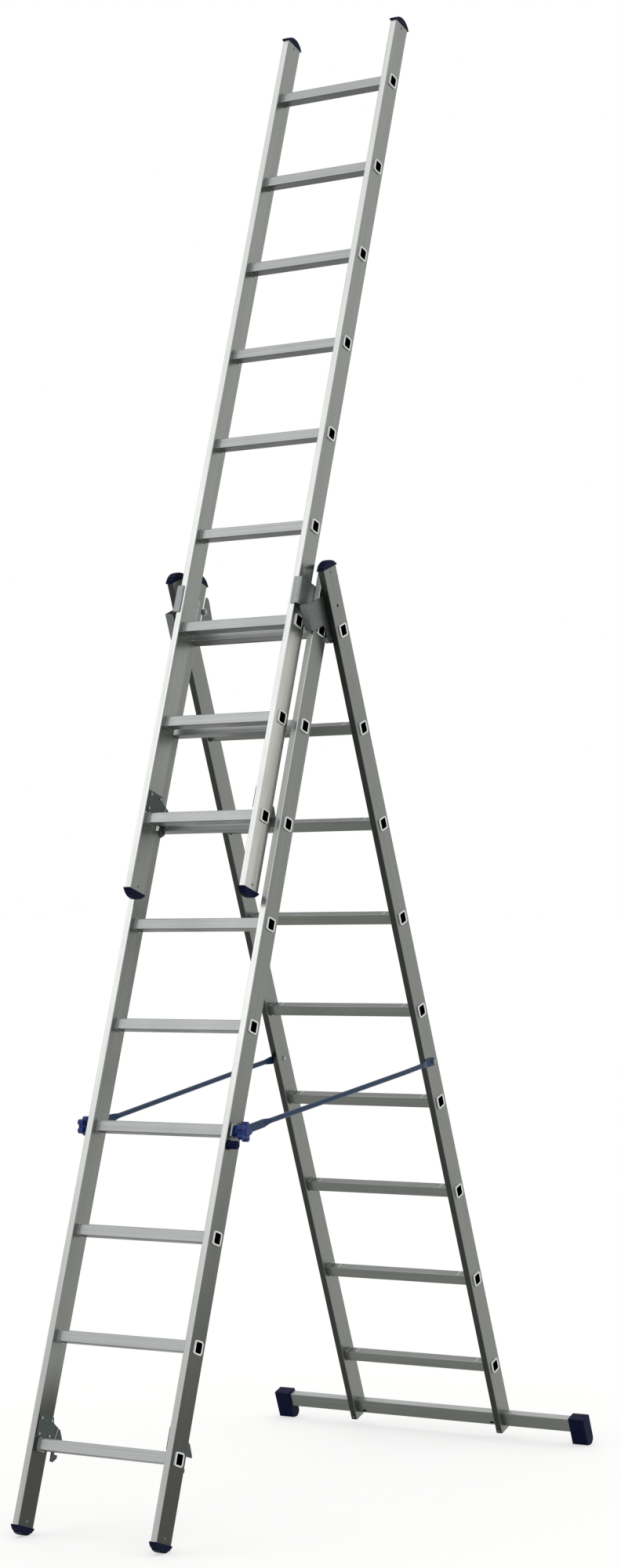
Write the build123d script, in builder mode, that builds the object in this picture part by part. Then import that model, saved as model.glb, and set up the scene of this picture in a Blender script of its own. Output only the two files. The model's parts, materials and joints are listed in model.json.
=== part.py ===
from build123d import *
import math
import os

# Three-section combination ladder, standing as an A-frame with its top section run out.
# Millimetres. +X is to the right of someone who climbs, +Y runs from the climbing side
# to the back, +Z is up. The origin is on the floor, under the middle of the ladder.

# Rungs
rung_pitch = 280.0
rung_count = 9
rung_size = 30.0
rung_wall = 1.6
rung_corner = 3.0
rim_size = 38.0
rim_height = 3.0
rim_taper = 25.0
collar_size = 34.0
collar_height = 2.5

# Stiles
stile_width = 20.0
stile_depth = 65.0
stile_wall = 1.6
stile_corner = 2.5
fly_width = 390.0
fly_side_gap = 11.0
rear_side_gap = 14.0
fly_bottom_end = 205.0
fly_top_end = 187.0
middle_bottom_end = 208.0
middle_top_end = 172.0
rear_bottom_end = 205.0
rear_top_end = 177.0

# How the sections stand and stack
lean = 19.5
fly_gap = 3.0
fold_gap = 5.0
fly_lift_rungs = 6
hinge_drop = 12.0

# Clearances
seat_clearance = 0.1
running_clearance = 0.05
moving_gap = 0.4

# End caps and feet
cap_overhang = 1.0
cap_reach = 5.0
cap_rim = 4.0
cap_rise = 20.0
foot_drop = 22.0
plug_depth = 25.0
tread_count = 4
tread_width = 4.0
tread_depth = 2.5

# Rung hooks and their latches
hook_plate = 3.0
hook_height = 75.0
hook_front = 29.0
hook_reach = 53.0
hook_nose = 5.0
hook_shoulder_in = 19.0
hook_shoulder = 33.0
rivet_radius = 4.0
rivet_height = 2.0
latch_plate = 3.0
latch_pin_radius = 3.0
latch_pin_head = 5.0
latch_arm = 13.0
latch_pin_height = 1.0
latch_toe = 14.0
latch_drop = 20.0
spring_room = 4.0

# Guides that hold the fly to the middle section
guide_plate = 3.0
guide_low = 39.0
guide_high = 117.0
guide_lap = 12.0
guide_play = 0.8
guide_bend = 5.0

# Hinge at the head of the A-frame
strap_plate = 3.0
strap_low = 32.0
strap_high = 107.0
strap_inset = 3.0
strap_play = 1.0
strap_bend = 10.0
strap_round = 8.0
ear_plate = 3.0
ear_radius = 13.0
hinge_pin_radius = 5.0
stop_height = 70.0
stop_radius = 8.0
stop_washer_radius = 11.0
stop_washer = 1.5
bolt_radius = 4.0
bolt_head_radius = 7.5
bolt_head = 4.0

# Spreader struts and their knobs
strut_diameter = 14.0
strut_flat = 4.0
strut_flat_width = 22.0
strut_rear_pitch = 3.44
strut_rung = 3
strut_washer = 1.5
strut_straight = 170.0
strut_taper = 30.0
strut_tip = 16.0
strut_eye_length = 34.0
strut_flat_length = 108.0
stud_radius = 4.0
stud_play = 0.6
hub_radius = 13.0
hub_length = 12.5
star_lobes = 5
star_core = 18.0
star_lobe_radius = 8.5
star_lobe_circle = 18.5
star_thickness = 18.0
star_round = 3.0
star_dome = 3.0
stud_hidden = 3.0
peg_radius = 11.0
peg_length = 30.0
peg_flange = 3.0
peg_drop = 40.0
peg_forward = 20.0

# Stabiliser under the rear section
bar_height = 40.0
bar_depth = 25.0
bar_wall = 2.0
bar_corner = 2.5
bar_length = 1040.0
bar_above_end = 14.0
bar_slot_length = 14.0
bar_slot_width = 6.0
bar_slot_inset = 20.0
screw_radius = 3.5
screw_above_end = 8.0
shoe_length = 50.0
shoe_wall = 6.0
shoe_round = 18.0
shoe_edge = 3.0
shoe_sleeve = 39.0

# Derived sizes
tilt = math.radians(lean)
sine = math.sin(tilt)
cosine = math.cos(tilt)
middle_width = fly_width + 2 * (stile_width + fly_side_gap)
rear_width = middle_width + 2 * (stile_width + rear_side_gap)
half_depth = stile_depth / 2
cap_half = half_depth + cap_reach
rung_span = (rung_count - 1) * rung_pitch
stack = (stile_depth + fold_gap) / 2
fly_stack = stile_depth + fly_gap
foot_radius = (cap_half**2 + foot_drop**2) / (2 * foot_drop)
rung_1_height = (middle_bottom_end + foot_drop - foot_radius) * cosine + foot_radius
hinge_up = rung_span - hinge_drop
rear_rung_1 = 2 * (hinge_up * sine + stack * cosine)

# Where the ladder's front and back edges fall, so that the origin comes midway
front_edge = -(middle_bottom_end + cap_rim) * sine - cap_half * cosine
shoe_half = bar_depth / 2 + shoe_wall
shoe_in = shoe_half - shoe_round
shoe_centre_up = (shoe_round - rung_1_height - shoe_in * sine) / cosine
shoe_edge_y = -shoe_centre_up * sine + shoe_in * cosine + shoe_round
stile_edge_y = rear_bottom_end * sine + half_depth * cosine
rear_edge = rear_rung_1 + max(shoe_edge_y, stile_edge_y)
front_y = -(front_edge + rear_edge) / 2
rear_y = front_y + rear_rung_1

# Section frames: local x across the ladder, local y through its depth to the back,
# local z up the stile, origin at the middle of the lowest rung
middle_frame = Plane(origin=(0, front_y, rung_1_height), x_dir=(1, 0, 0), z_dir=(0, sine, cosine))
rear_frame = Plane(origin=(0, rear_y, rung_1_height), x_dir=(1, 0, 0), z_dir=(0, -sine, cosine))
fly_origin = (
    middle_frame.origin
    - middle_frame.y_dir * fly_stack
    + middle_frame.z_dir * (fly_lift_rungs * rung_pitch)
)
fly_frame = Plane(origin=fly_origin, x_dir=(1, 0, 0), z_dir=(0, sine, cosine))

sides = {"left": -1, "right": 1}
os.makedirs("parts", exist_ok=True)


def cheek(frame, side, across):
    """A plane facing outwards at a distance across; its x is side times depth, its y is up."""
    origin = frame.origin + frame.x_dir * (side * across)
    return Plane(origin=origin, x_dir=frame.y_dir * side, z_dir=frame.x_dir * side)


def keep(part, label):
    """Label a finished piece and write it."""
    part.label = label
    export_step(part, f"parts/{label}.step")


def rung_places():
    """The middle of each rung on a cheek plane."""
    return [(0, number * rung_pitch) for number in range(rung_count)]


def make_stile(label, frame, width, bottom_end, top_end, side, window_up=None, holes=()):
    """A hollow box stile with a hole for each rung, and any window and bolt holes."""
    middle = side * (width - stile_width) / 2
    inner_width = stile_width - 2 * stile_wall
    inner_depth = stile_depth - 2 * stile_wall
    hole = rung_size + 2 * seat_clearance
    with BuildPart() as stile:
        with BuildSketch(frame.offset(-bottom_end)):
            with Locations((middle, 0)):
                RectangleRounded(stile_width, stile_depth, stile_corner)
                Rectangle(inner_width, inner_depth, mode=Mode.SUBTRACT)
        extrude(amount=bottom_end + rung_span + top_end)
        with BuildSketch(cheek(frame, side, width / 2 - stile_width)):
            with Locations(*rung_places()):
                RectangleRounded(hole, hole, rung_corner)
            if window_up is not None:
                with Locations((0, window_up)):
                    RectangleRounded(
                        bar_depth + 2 * seat_clearance, bar_height + 2 * seat_clearance, bar_corner
                    )
            if holes:
                with Locations(*holes):
                    Circle(bolt_radius + seat_clearance)
        extrude(amount=stile_width, mode=Mode.SUBTRACT)
    keep(stile.part, label)


def make_rungs(label, frame, width):
    """Nine square tubes, swaged to a collar inside and a flared rim outside each stile."""
    reach = width / 2 + rim_height
    bore = rung_size - 2 * rung_wall
    with BuildPart() as rungs:
        with BuildSketch(cheek(frame, 1, -reach)):
            with Locations(*rung_places()):
                RectangleRounded(rung_size, rung_size, rung_corner)
        extrude(amount=2 * reach)
        for side in sides.values():
            with BuildSketch(cheek(frame, side, width / 2)):
                with Locations(*rung_places()):
                    RectangleRounded(rim_size, rim_size, rung_corner + (rim_size - rung_size) / 2)
            extrude(amount=rim_height, taper=rim_taper)
            with BuildSketch(cheek(frame, side, width / 2 - stile_width - collar_height)):
                with Locations(*rung_places()):
                    RectangleRounded(collar_size, collar_size, rung_corner + 1)
            extrude(amount=collar_height)
        with BuildSketch(cheek(frame, 1, -reach)):
            with Locations(*rung_places()):
                RectangleRounded(bore, bore, rung_corner - rung_wall / 2)
        extrude(amount=2 * reach, mode=Mode.SUBTRACT)
    keep(rungs.part, label)


def make_caps(label, frame, width, end, rise, treads=0):
    """A pair of arched plastic end pieces; end and rise are negative on a foot."""
    way = math.copysign(1, rise)
    rim_end = end + way * cap_rim
    crown = end + rise
    cap_width = stile_width + 2 * cap_overhang
    plug_width = stile_width - 2 * stile_wall - 2 * seat_clearance
    plug_size = stile_depth - 2 * stile_wall - 2 * seat_clearance
    tread_pitch = 2 * cap_half / (treads + 1)
    arc_radius = (cap_half**2 + rise**2) / (2 * abs(rise))
    inside = width / 2 - stile_width - cap_overhang
    with BuildPart() as caps:
        for side in sides.values():
            with BuildSketch(frame.offset(min(end, rim_end))):
                with Locations((side * (width - stile_width) / 2, 0)):
                    RectangleRounded(cap_width, 2 * cap_half, stile_corner)
            extrude(amount=cap_rim)
            with BuildSketch(cheek(frame, side, inside)):
                with BuildLine():
                    Line((-cap_half, end), (cap_half, end))
                    ThreePointArc((cap_half, end), (0, crown), (-cap_half, end))
                make_face()
            extrude(amount=cap_width)
            with BuildSketch(frame.offset(min(end, end - way * plug_depth))):
                with Locations((side * (width - stile_width) / 2, 0)):
                    Rectangle(plug_width, plug_size)
            extrude(amount=plug_depth)
            if treads:
                centre = crown - way * arc_radius
                with BuildSketch(cheek(frame, side, inside)):
                    for number in range(treads):
                        depth = (number - (treads - 1) / 2) * tread_pitch
                        low = centre + way * math.sqrt(arc_radius**2 - depth**2)
                        with Locations((depth, low)):
                            Rectangle(tread_width, 2 * tread_depth)
                extrude(amount=cap_width, mode=Mode.SUBTRACT)
    keep(caps.part, label)


def hook_outline(stack_depth):
    """The hook plate's outline as depth and height, round the rung that it hangs on."""
    rung_front = stack_depth - rung_size / 2 - moving_gap
    over = rung_size / 2 + moving_gap
    clear = collar_size / 2 + moving_gap
    heel = half_depth + 2
    return [
        (-hook_front, clear),
        (-hook_front, hook_height),
        (half_depth - 2, hook_height),
        (heel, hook_height - 14),
        (half_depth + hook_reach - hook_shoulder_in, over + hook_shoulder),
        (half_depth + hook_reach, over + hook_nose),
        (half_depth + hook_reach, over),
        (rung_front, over),
        (rung_front, latch_pin_height - latch_arm / 2),
        (clear, latch_pin_height - latch_arm / 2),
        (clear, clear),
    ]


def latch_centre(stack_depth):
    """Depth and height of a latch's pin."""
    return (stack_depth - rung_size / 2 - latch_arm / 2 - 2 * moving_gap, latch_pin_height)


def rivet_spots():
    """Depth and height of the four rivets of a hook plate."""
    inset = 9.0
    low = collar_size / 2 + inset
    depths = (-hook_front + inset, half_depth - inset)
    return [(depth, up) for depth in depths for up in (low, hook_height - inset)]


def make_hooks(section, frame, width, stack_depth):
    """Hook plates, their rivets, the latch pins and one sprung latch each side."""
    face = width / 2 - stile_width
    pin_spot = latch_centre(stack_depth)
    latch_face = face - hook_plate - moving_gap
    with BuildPart() as hooks:
        for side in sides.values():
            with BuildSketch(cheek(frame, side, face - hook_plate)):
                with BuildLine():
                    Polyline([(side * d, u) for d, u in hook_outline(stack_depth)], close=True)
                make_face()
                with Locations((side * pin_spot[0], pin_spot[1])):
                    Circle(latch_pin_radius + running_clearance, mode=Mode.SUBTRACT)
            extrude(amount=hook_plate)
    keep(hooks.part, f"{section}_hooks")

    with BuildPart() as rivets:
        for side in sides.values():
            with BuildSketch(cheek(frame, side, face - hook_plate - rivet_height)):
                with Locations(*[(side * d, u) for d, u in rivet_spots()]):
                    Circle(rivet_radius)
            extrude(amount=rivet_height)
        fillet(rivets.faces().filter_by(GeomType.PLANE).edges(), rivet_height * 0.45)
    keep(rivets.part, f"{section}_hook_rivets")

    pin_start = latch_face - latch_plate - spring_room
    with BuildPart() as pins:
        for side in sides.values():
            with BuildSketch(cheek(frame, side, pin_start)):
                with Locations((side * pin_spot[0], pin_spot[1])):
                    Circle(latch_pin_radius)
            extrude(amount=face - pin_start)
            with BuildSketch(cheek(frame, side, pin_start - rivet_height)):
                with Locations((side * pin_spot[0], pin_spot[1])):
                    Circle(latch_pin_head)
            extrude(amount=rivet_height)
    keep(pins.part, f"{section}_latch_pins")

    under = -rung_size / 2 - moving_gap
    arm = latch_arm / 2
    for word, side in sides.items():
        depth, up = pin_spot
        with BuildPart() as latch:
            with BuildSketch(cheek(frame, side, latch_face - latch_plate)):
                with Locations((side * depth, up)):
                    Circle(arm)
                with BuildLine():
                    Polyline(
                        (side * (depth - arm), up),
                        (side * (depth - arm + 2), under - latch_drop),
                        (side * (depth + arm), under - latch_drop),
                        (side * (depth + arm + latch_toe), under - 8),
                        (side * (depth + arm + latch_toe), under),
                        (side * (depth + arm), under),
                        (side * (depth + arm), up),
                        close=True,
                    )
                make_face()
                with Locations((side * depth, up)):
                    Circle(latch_pin_radius + running_clearance, mode=Mode.SUBTRACT)
            extrude(amount=latch_plate)
        keep(latch.part, f"{section}_latch_{word}")


# Fly section
for word, side in sides.items():
    make_stile(f"fly_stile_{word}", fly_frame, fly_width, fly_bottom_end, fly_top_end, side)
make_rungs("fly_rungs", fly_frame, fly_width)
make_caps("fly_top_caps", fly_frame, fly_width, rung_span + fly_top_end, cap_rise)
make_caps("fly_bottom_caps", fly_frame, fly_width, -fly_bottom_end, -cap_rise)
make_hooks("fly", fly_frame, fly_width, fly_stack)

# Middle section
for word, side in sides.items():
    make_stile(
        f"middle_stile_{word}", middle_frame, middle_width, middle_bottom_end, middle_top_end, side
    )
make_rungs("middle_rungs", middle_frame, middle_width)
make_caps("middle_top_caps", middle_frame, middle_width, rung_span + middle_top_end, cap_rise)
make_caps(
    "middle_feet", middle_frame, middle_width, -middle_bottom_end, -foot_drop, treads=tread_count
)
make_hooks("middle", middle_frame, middle_width, 2 * stack)

# Fly guides: bent plates on the middle section's inner faces, lapping the fly's front
guide_face = middle_width / 2 - stile_width
guide_front = -fly_stack - half_depth - guide_play
guide_back = half_depth - 22
with BuildPart() as guides:
    for side in sides.values():
        outer = side * guide_face
        inner = side * (guide_face - guide_plate)
        lap = side * (fly_width / 2 - guide_lap)
        with BuildSketch(middle_frame.offset(rung_span + guide_low)):
            with BuildLine():
                Polyline(
                    (outer, guide_back),
                    (outer, guide_front - guide_plate),
                    (lap, guide_front - guide_plate),
                    (lap, guide_front),
                    (inner, guide_front),
                    (inner, guide_back),
                    close=True,
                )
            make_face()
        extrude(amount=guide_high - guide_low)
    bends = guides.edges().filter_by(Axis(middle_frame.origin, middle_frame.z_dir))
    fillet(bends.sort_by(lambda edge: abs(edge.center().X))[-8:].filter_by(
        lambda edge: abs(abs(edge.center().X) - guide_face) < 0.01
        and middle_frame.to_local_coords(edge.center()).Y < guide_front), guide_bend)
keep(guides.part, "fly_guides")

guide_rivet_spots = [(0, rung_span + guide_low + 18), (0, rung_span + guide_high - 18)]
with BuildPart() as guide_rivets:
    for side in sides.values():
        with BuildSketch(cheek(middle_frame, side, guide_face - guide_plate - rivet_height)):
            with Locations(*guide_rivet_spots):
                Circle(rivet_radius)
        extrude(amount=rivet_height)
    fillet(guide_rivets.faces().filter_by(GeomType.PLANE).edges(), rivet_height * 0.45)
keep(guide_rivets.part, "guide_rivets")

# Hinge ears on the middle section's outer faces, with their pins
ear_face = middle_width / 2
ear_inset = rim_size / 2 + 1.5
with BuildPart() as ears:
    for side in sides.values():
        with BuildSketch(cheek(middle_frame, side, ear_face)):
            with BuildLine():
                Polyline(
                    (side * ear_inset, hinge_up),
                    (side * ear_inset, rung_span + ear_inset),
                    (side * -10, rung_span + ear_inset),
                    (side * -10, rung_span + 62),
                    (side * (half_depth - 1), rung_span + 62),
                    (side * (half_depth - 1), rung_span + 8),
                    (side * (stack + ear_radius), hinge_up),
                    close=True,
                )
            make_face()
            with Locations((side * stack, hinge_up)):
                Circle(ear_radius)
                Circle(hinge_pin_radius + running_clearance, mode=Mode.SUBTRACT)
        extrude(amount=ear_plate)
keep(ears.part, "hinge_ears")

ear_rivet_spots = [(2, rung_span + 34), (20, rung_span + 50)]
with BuildPart() as ear_rivets:
    for side in sides.values():
        with BuildSketch(cheek(middle_frame, side, ear_face + ear_plate)):
            with Locations(*[(side * d, u) for d, u in ear_rivet_spots]):
                Circle(rivet_radius)
        extrude(amount=rivet_height)
    fillet(ear_rivets.faces().filter_by(GeomType.PLANE).edges(), rivet_height * 0.45)
keep(ear_rivets.part, "hinge_ear_rivets")

strap_face = rear_width / 2 - stile_width
with BuildPart() as pins:
    for side in sides.values():
        with BuildSketch(cheek(middle_frame, side, ear_face)):
            with Locations((side * stack, hinge_up)):
                Circle(hinge_pin_radius)
        extrude(amount=strap_face - moving_gap - ear_face)
        with BuildSketch(cheek(middle_frame, side, ear_face + ear_plate)):
            with Locations((side * stack, hinge_up)):
                Circle(ear_radius - 4)
        extrude(amount=strap_face - strap_plate - moving_gap - ear_face - ear_plate)
keep(pins.part, "hinge_pins")

# Knob studs in the ends of one rung, with the hubs that the struts bear on
knob_up = strut_rung * rung_pitch
rung_end = middle_width / 2 + rim_height
hub_end = rung_end + hub_length
clamp_face = hub_end + moving_gap + strut_flat + moving_gap
knob_end = clamp_face + star_thickness + star_dome
insert = rung_size - 2 * rung_wall - 2 * seat_clearance
with BuildPart() as studs:
    for side in sides.values():
        with BuildSketch(cheek(middle_frame, side, middle_width / 2 - stile_width)):
            with Locations((0, knob_up)):
                RectangleRounded(insert, insert, rung_corner - rung_wall / 2)
        extrude(amount=stile_width)
        with BuildSketch(cheek(middle_frame, side, middle_width / 2)):
            with Locations((0, knob_up)):
                Circle(stud_radius)
        extrude(amount=knob_end - stud_hidden - middle_width / 2)
keep(studs.part, "knob_studs")

with BuildPart() as hubs:
    for side in sides.values():
        with BuildSketch(cheek(middle_frame, side, rung_end)):
            with Locations((0, knob_up)):
                Circle(hub_radius + 4)
                Circle(stud_radius + running_clearance, mode=Mode.SUBTRACT)
        extrude(amount=2)
        with BuildSketch(cheek(middle_frame, side, rung_end + 2)):
            with Locations((0, knob_up)):
                Circle(hub_radius)
                Circle(stud_radius + running_clearance, mode=Mode.SUBTRACT)
        extrude(amount=hub_length - 2)
keep(hubs.part, "knob_hubs")

# Keeper peg under the right-hand knob
with BuildPart() as peg:
    with BuildSketch(cheek(middle_frame, 1, middle_width / 2)):
        with Locations((-peg_forward, knob_up - peg_drop)):
            Circle(peg_radius + 2)
    extrude(amount=peg_flange)
    with BuildSketch(cheek(middle_frame, 1, middle_width / 2 + peg_flange)):
        with Locations((-peg_forward, knob_up - peg_drop)):
            Circle(peg_radius)
    extrude(amount=peg_length - peg_flange)
    fillet(peg.faces().sort_by(Axis.X)[-1].edges(), 3)
keep(peg.part, "keeper_peg")

# Star knobs
for word, side in sides.items():
    with BuildPart() as knob:
        with BuildSketch(cheek(middle_frame, side, clamp_face)):
            with Locations((0, knob_up)):
                Circle(star_core)
                with PolarLocations(star_lobe_circle, star_lobes, start_angle=90):
                    Circle(star_lobe_radius)
        extrude(amount=star_thickness)
        fillet(knob.faces().filter_by(Axis.X).edges(), star_round)
        with BuildSketch(cheek(middle_frame, side, clamp_face + star_thickness)):
            with Locations((0, knob_up)):
                Circle(star_core - 7)
        extrude(amount=star_dome, taper=20)
        with BuildSketch(cheek(middle_frame, side, clamp_face)):
            with Locations((0, knob_up)):
                Circle(stud_radius + running_clearance)
        bore = star_thickness + star_dome - stud_hidden + moving_gap
        extrude(amount=bore, mode=Mode.SUBTRACT)
    keep(knob.part, f"knob_{word}")

# Rear section
bar_low = -rear_bottom_end + bar_above_end
bar_middle = bar_low + bar_height / 2
strut_up = strut_rear_pitch * rung_pitch
strut_bolt_face = rear_width / 2


rear_holes = [(0, strut_up), (0, rung_span + stop_height)]
for word, side in sides.items():
    make_stile(
        f"rear_stile_{word}",
        rear_frame,
        rear_width,
        rear_bottom_end,
        rear_top_end,
        side,
        window_up=bar_middle,
        holes=rear_holes,
    )
make_rungs("rear_rungs", rear_frame, rear_width)
make_caps("rear_top_caps", rear_frame, rear_width, rung_span + rear_top_end, cap_rise)

with BuildPart() as bar:
    with BuildSketch(cheek(rear_frame, 1, -bar_length / 2)):
        with Locations((0, bar_middle)):
            RectangleRounded(bar_depth, bar_height, bar_corner)
            Rectangle(bar_depth - 2 * bar_wall, bar_height - 2 * bar_wall, mode=Mode.SUBTRACT)
    extrude(amount=bar_length)
    slot_plane = Plane(
        origin=rear_frame.origin - rear_frame.y_dir * (bar_depth / 2) + rear_frame.z_dir * bar_low,
        x_dir=rear_frame.x_dir,
        z_dir=-rear_frame.y_dir,
    )
    slot_across = rear_width / 2 - stile_width - bar_slot_inset
    with BuildSketch(slot_plane):
        with Locations((-slot_across, bar_slot_width + 2), (slot_across, bar_slot_width + 2)):
            SlotOverall(bar_slot_length, bar_slot_width)
    extrude(amount=-bar_wall, mode=Mode.SUBTRACT)
keep(bar.part, "stabiliser_bar")

# Shoes: boots over the bar's ends, cut level with the floor
shoe_top = bar_low + bar_height + shoe_wall
floor_reach = 2 * rung_1_height
with BuildPart() as shoes:
    for side in sides.values():
        start = bar_length / 2 - shoe_sleeve
        front_low = -(rung_1_height - shoe_half * sine) / cosine
        rear_low = -(rung_1_height + shoe_half * sine) / cosine
        with BuildSketch(cheek(rear_frame, side, start)):
            with BuildLine():
                Polyline(
                    (side * -shoe_half, front_low),
                    (side * -shoe_half, shoe_top),
                    (side * shoe_half, shoe_top),
                    (side * shoe_half, rear_low),
                    close=True,
                )
            make_face()
        extrude(amount=shoe_length)
    long_edges = shoes.edges().filter_by(Axis.X)
    fillet(long_edges.group_by(Axis.Z)[0].group_by(Axis.Y)[-1], shoe_round)
    fillet(shoes.edges().filter_by(Axis.X).group_by(Axis.Z)[-1], shoe_edge)
    with BuildSketch(cheek(rear_frame, 1, -bar_length / 2 - seat_clearance)):
        with Locations((0, bar_middle)):
            RectangleRounded(
                bar_depth + 2 * seat_clearance, bar_height + 2 * seat_clearance, bar_corner
            )
    extrude(amount=bar_length + 2 * seat_clearance, mode=Mode.SUBTRACT)
keep(shoes.part, "stabiliser_shoes")

# Screws across the stiles' lower ends, just under the bar
with BuildPart() as screws:
    for side in sides.values():
        screw_plane = Plane(
            origin=rear_frame.origin
            + rear_frame.x_dir * (side * (rear_width - stile_width) / 2)
            + rear_frame.z_dir * (screw_above_end - rear_bottom_end)
            - rear_frame.y_dir * half_depth,
            x_dir=rear_frame.x_dir,
            z_dir=-rear_frame.y_dir,
        )
        with BuildSketch(screw_plane):
            Circle(screw_radius)
        extrude(amount=rivet_height, taper=20)
keep(screws.part, "stabiliser_screws")

# Straps: bent plates on the rear section's inner faces, hooked round the middle stiles' fronts
stop_rise = hinge_drop + stop_height
stop_depth = (
    -stack
    + (stop_radius + moving_gap - (stack - half_depth)
       + stop_rise * math.sin(2 * tilt)) / math.cos(2 * tilt)
)
strap_front = -2 * stack - half_depth - strap_play
strap_back = stop_depth + stop_washer_radius
strap_lap = middle_width / 2 - stile_width + strap_inset
with BuildPart() as straps:
    for side in sides.values():
        with BuildSketch(cheek(rear_frame, side, strap_face - strap_plate)):
            with BuildLine():
                Polyline(
                    (side * (strap_front - strap_plate), rung_span + strap_low),
                    (side * (strap_front - strap_plate), rung_span + strap_high),
                    (side * strap_back, rung_span + strap_high),
                    (side * strap_back, rung_span + strap_low + 20),
                    (side * 4, rung_span + strap_low),
                    (side * (-collar_size / 2 - 1), rung_span + strap_low),
                    (side * (-collar_size / 2 - 1), hinge_up - ear_radius),
                    (side * -stack, hinge_up - ear_radius),
                    (side * (-stack - ear_radius), hinge_up),
                    (side * (-stack - ear_radius), rung_span + strap_low),
                    close=True,
                )
            make_face()
            with Locations((side * -stack, hinge_up)):
                Circle(ear_radius)
                Circle(hinge_pin_radius + running_clearance, mode=Mode.SUBTRACT)
            with Locations((0, rung_span + stop_height), (side * stop_depth, rung_span + stop_height)):
                Circle(bolt_radius + running_clearance, mode=Mode.SUBTRACT)
        extrude(amount=strap_plate)
        with BuildSketch(rear_frame.offset(rung_span + strap_low)):
            with BuildLine():
                Polyline(
                    (side * strap_face, strap_front - strap_plate),
                    (side * strap_lap, strap_front - strap_plate),
                    (side * strap_lap, strap_front),
                    (side * strap_face, strap_front),
                    close=True,
                )
            make_face()
        extrude(amount=strap_high - strap_low)
    upright = straps.edges().filter_by(Axis(rear_frame.origin, rear_frame.z_dir))
    fillet(
        upright.filter_by(
            lambda edge: abs(abs(edge.center().X) - strap_face) < 0.01
            and rear_frame.to_local_coords(edge.center()).Y < strap_front
        ),
        strap_bend,
    )
    corners = straps.edges().filter_by(Axis(rear_frame.origin, rear_frame.y_dir))
    fillet(corners.filter_by(lambda edge: abs(abs(edge.center().X) - strap_lap) < 0.01), strap_round)
keep(straps.part, "hinge_straps")

with BuildPart() as strap_bolts:
    for side in sides.values():
        head = strap_face - strap_plate - bolt_head
        with BuildSketch(cheek(rear_frame, side, head)):
            with Locations((0, rung_span + stop_height)):
                RegularPolygon(bolt_head_radius, 6)
        extrude(amount=bolt_head)
        with BuildSketch(cheek(rear_frame, side, head + bolt_head)):
            with Locations((0, rung_span + stop_height)):
                Circle(bolt_radius)
        extrude(amount=strap_plate + stile_width / 2)
        with BuildSketch(cheek(rear_frame, side, strap_face + stile_wall)):
            with Locations((0, rung_span + stop_height)):
                RegularPolygon(bolt_head_radius, 6)
        extrude(amount=bolt_head + 1)
keep(strap_bolts.part, "strap_bolts")

# Stop bolts: the middle stiles lean on their spacers when the A-frame is open
stop_inner = middle_width / 2 - stile_width - 1
with BuildPart() as stops:
    for side in sides.values():
        spot = (side * stop_depth, rung_span + stop_height)
        with BuildSketch(cheek(rear_frame, side, stop_inner)):
            with Locations(spot):
                Circle(stop_radius)
        extrude(amount=strap_face - strap_plate - stop_inner)
        with BuildSketch(cheek(rear_frame, side, stop_inner)):
            with Locations(spot):
                Circle(bolt_radius)
        extrude(amount=strap_face + stop_washer - stop_inner)
        with BuildSketch(cheek(rear_frame, side, stop_inner - stop_washer)):
            with Locations(spot):
                Circle(stop_washer_radius)
        extrude(amount=stop_washer)
        with BuildSketch(cheek(rear_frame, side, stop_inner - stop_washer - bolt_head)):
            with Locations(spot):
                RegularPolygon(bolt_head_radius, 6)
        extrude(amount=bolt_head)
        with BuildSketch(cheek(rear_frame, side, strap_face)):
            with Locations(spot):
                Circle(stop_depth - half_depth - moving_gap)
        extrude(amount=stop_washer)
keep(stops.part, "stop_bolts")

# Strut bolts through the rear stiles, with washers under the struts
strut_eye = strut_bolt_face + strut_washer
strut_out = strut_eye + strut_flat + moving_gap
with BuildPart() as strut_bolts:
    for side in sides.values():
        inside = rear_width / 2 - stile_width
        with BuildSketch(cheek(rear_frame, side, inside - bolt_head)):
            with Locations((0, strut_up)):
                Circle(bolt_head_radius)
        extrude(amount=bolt_head)
        fillet(
            strut_bolts.faces().filter_by(Axis.X).sort_by(lambda face: abs(face.center().X))[0].edges(),
            bolt_head * 0.7,
        )
        with BuildSketch(cheek(rear_frame, side, inside)):
            with Locations((0, strut_up)):
                Circle(bolt_radius)
        extrude(amount=strut_out + bolt_head + 1.5 - inside)
        with BuildSketch(cheek(rear_frame, side, strut_out)):
            with Locations((0, strut_up)):
                RegularPolygon(bolt_head_radius, 6)
        extrude(amount=bolt_head)
keep(strut_bolts.part, "strut_bolts")

with BuildPart() as washers:
    for side in sides.values():
        with BuildSketch(cheek(rear_frame, side, strut_bolt_face)):
            with Locations((0, strut_up)):
                Circle(bolt_head_radius + 2.5)
                Circle(bolt_radius + running_clearance, mode=Mode.SUBTRACT)
        extrude(amount=strut_washer - moving_gap / 2)
keep(washers.part, "strut_washers")

# Struts: painted tubes, flattened at both ends, hooked over the knob studs
strut_pivot = rear_frame.origin + rear_frame.z_dir * strut_up
stud_point = middle_frame.origin + middle_frame.z_dir * knob_up
strut_length = (stud_point - strut_pivot).length
strut_way = (stud_point - strut_pivot).normalized()
across_dir = Vector(1, 0, 0)
flat_middle = hub_end + moving_gap + strut_flat / 2
tube_middle = strut_bolt_face + strut_diameter / 2 + moving_gap
eye_middle = strut_eye + strut_flat / 2
flat_half = strut_flat_width / 2
tube_start = strut_eye_length + strut_taper
flat_start = strut_length - strut_flat_length
tube_end = flat_start - strut_taper


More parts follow.
